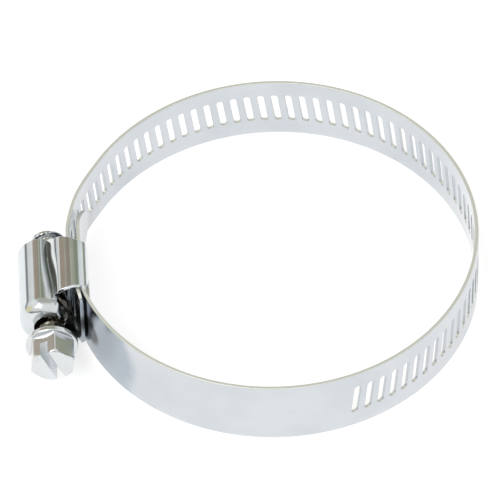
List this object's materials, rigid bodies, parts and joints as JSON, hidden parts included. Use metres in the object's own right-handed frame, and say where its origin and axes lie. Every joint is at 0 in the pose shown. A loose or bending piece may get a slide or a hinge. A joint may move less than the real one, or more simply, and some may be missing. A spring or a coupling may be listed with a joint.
{
  "type": "hose clamp",
  "caption": "Worm-drive hose clamp: a slotted steel strip bent into a ring, a stamped housing and a slotted hex-head screw that draws the strip in.",
  "frame": {"origin": "middle of the clamp's footprint, on the plane of its lowest edge", "axes": "+Z along the ring's axis; +Y along the screw's axis, from its hex head to its tip; +X from the screw towards the far side of the ring"},
  "size_m": [0.0782, 0.0692, 0.0145],
  "materials": {
    "band_steel": "polished stainless strip",
    "housing_steel": "bright stamped stainless sheet",
    "screw_steel": "bright zinc plate, slightly warm"
  },
  "bodies": {
    "housing": {"worm_housing": "housing_steel", "band_fixed_end": "band_steel"},
    "tongue": {"band_tongue": "band_steel"},
    "screw": {"worm_screw": "screw_steel"},
    "link_01": {"band_link_01": "band_steel"},
    "link_02": {"band_link_02": "band_steel"},
    "link_03": {"band_link_03": "band_steel"},
    "link_04": {"band_link_04": "band_steel"},
    "link_05": {"band_link_05": "band_steel"},
    "link_06": {"band_link_06": "band_steel"},
    "link_07": {"band_link_07": "band_steel"},
    "link_08": {"band_link_08": "band_steel"},
    "link_09": {"band_link_09": "band_steel"},
    "link_10": {"band_link_10": "band_steel"},
    "link_11": {"band_link_11": "band_steel"},
    "link_12": {"band_link_12": "band_steel"},
    "link_13": {"band_link_13": "band_steel"},
    "link_14": {"band_link_14": "band_steel"},
    "link_15": {"band_link_15": "band_steel"},
    "link_16": {"band_link_16": "band_steel"},
    "link_17": {"band_link_17": "band_steel"},
    "link_18": {"band_link_18": "band_steel"}
  },
  "joints": [
    {"name": "screw_turn", "type": "hinge", "parent": "housing", "child": "screw", "pos_m": [-0.03385, -0.0054, 0.00725], "axis": [0, 1, 0], "range_deg": [0, 11160]},
    {"name": "tongue_bend", "type": "hinge", "parent": "housing", "child": "tongue", "pos_m": [-0.02859, 0.0028, 0.00725], "axis": [0, 0, -1], "range_deg": [0, 35.76]},
    {"name": "bend_01", "type": "hinge", "parent": "housing", "child": "link_01", "pos_m": [-0.02768, -0.01173, 0.00725], "axis": [0, 0, 1], "range_deg": [0, 6.87]},
    {"name": "bend_02", "type": "hinge", "parent": "link_01", "child": "link_02", "pos_m": [-0.02171, -0.02207, 0.00725], "axis": [0, 0, 1], "range_deg": [0, 10.7]},
    {"name": "bend_03", "type": "hinge", "parent": "link_02", "child": "link_03", "pos_m": [-0.01255, -0.02973, 0.00725], "axis": [0, 0, 1], "range_deg": [0, 10.81]},
    {"name": "bend_04", "type": "hinge", "parent": "link_03", "child": "link_04", "pos_m": [-0.00133, -0.03379, 0.00725], "axis": [0, 0, 1], "range_deg": [0, 10.81]},
    {"name": "bend_05", "type": "hinge", "parent": "link_04", "child": "link_05", "pos_m": [0.01061, -0.03376, 0.00725], "axis": [0, 0, 1], "range_deg": [0, 10.62]},
    {"name": "bend_06", "type": "hinge", "parent": "link_05", "child": "link_06", "pos_m": [0.02182, -0.02964, 0.00725], "axis": [0, 0, 1], "range_deg": [0, 10.29]},
    {"name": "bend_07", "type": "hinge", "parent": "link_06", "child": "link_07", "pos_m": [0.03093, -0.02192, 0.00725], "axis": [0, 0, 1], "range_deg": [0, 9.97]},
    {"name": "bend_08", "type": "hinge", "parent": "link_07", "child": "link_08", "pos_m": [0.03685, -0.01155, 0.00725], "axis": [0, 0, 1], "range_deg": [0, 9.79]},
    {"name": "bend_09", "type": "hinge", "parent": "link_08", "child": "link_09", "pos_m": [0.03885, 0.00022, 0.00725], "axis": [0, 0, 1], "range_deg": [0, 9.82]},
    {"name": "bend_10", "type": "hinge", "parent": "link_09", "child": "link_10", "pos_m": [0.0367, 0.01196, 0.00725], "axis": [0, 0, 1], "range_deg": [0, 9.97]},
    {"name": "bend_11", "type": "hinge", "parent": "link_10", "child": "link_11", "pos_m": [0.03065, 0.02225, 0.00725], "axis": [0, 0, 1], "range_deg": [0, 10.03]},
    {"name": "bend_12", "type": "hinge", "parent": "link_11", "child": "link_12", "pos_m": [0.02144, 0.02985, 0.00725], "axis": [0, 0, 1], "range_deg": [0, 9.75]},
    {"name": "bend_13", "type": "hinge", "parent": "link_12", "child": "link_13", "pos_m": [0.01019, 0.03383, 0.00725], "axis": [0, 0, 1], "range_deg": [0, 9.18]},
    {"name": "bend_14", "type": "hinge", "parent": "link_13", "child": "link_14", "pos_m": [-0.00175, 0.03372, 0.00725], "axis": [0, 0, 1], "range_deg": [0, 8.56]},
    {"name": "bend_15", "type": "hinge", "parent": "link_14", "child": "link_15", "pos_m": [-0.01293, 0.02951, 0.00725], "axis": [0, 0, 1], "range_deg": [0, 7.97]},
    {"name": "bend_16", "type": "hinge", "parent": "link_15", "child": "link_16", "pos_m": [-0.02198, 0.02174, 0.00725], "axis": [0, 0, 1], "range_deg": [0, 7.57]},
    {"name": "bend_17", "type": "hinge", "parent": "link_16", "child": "link_17", "pos_m": [-0.02788, 0.01135, 0.00725], "axis": [0, 0, 1], "range_deg": [0, 7.37]},
    {"name": "bend_18", "type": "hinge", "parent": "link_17", "child": "link_18", "pos_m": [-0.03013, -0.00039, 0.00725], "axis": [0, 0, 1], "range_deg": [0, 7.27]}
  ],
  "couplings": [
    {"joint": "tongue_bend", "follows": "screw_turn", "ratio": 0.0032044},
    {"joint": "bend_01", "follows": "screw_turn", "ratio": 0.00061568},
    {"joint": "bend_02", "follows": "screw_turn", "ratio": 0.00095842},
    {"joint": "bend_03", "follows": "screw_turn", "ratio": 0.00096837},
    {"joint": "bend_04", "follows": "screw_turn", "ratio": 0.00096837},
    {"joint": "bend_05", "follows": "screw_turn", "ratio": 0.0009517},
    {"joint": "bend_06", "follows": "screw_turn", "ratio": 0.00092249},
    {"joint": "bend_07", "follows": "screw_turn", "ratio": 0.00089319},
    {"joint": "bend_08", "follows": "screw_turn", "ratio": 0.00087715},
    {"joint": "bend_09", "follows": "screw_turn", "ratio": 0.00087984},
    {"joint": "bend_10", "follows": "screw_turn", "ratio": 0.00089355},
    {"joint": "bend_11", "follows": "screw_turn", "ratio": 0.00089839},
    {"joint": "bend_12", "follows": "screw_turn", "ratio": 0.00087339},
    {"joint": "bend_13", "follows": "screw_turn", "ratio": 0.00082294},
    {"joint": "bend_14", "follows": "screw_turn", "ratio": 0.00076738},
    {"joint": "bend_15", "follows": "screw_turn", "ratio": 0.00071443},
    {"joint": "bend_16", "follows": "screw_turn", "ratio": 0.00067832},
    {"joint": "bend_17", "follows": "screw_turn", "ratio": 0.00066013},
    {"joint": "bend_18", "follows": "screw_turn", "ratio": 0.00065152}
  ]
}
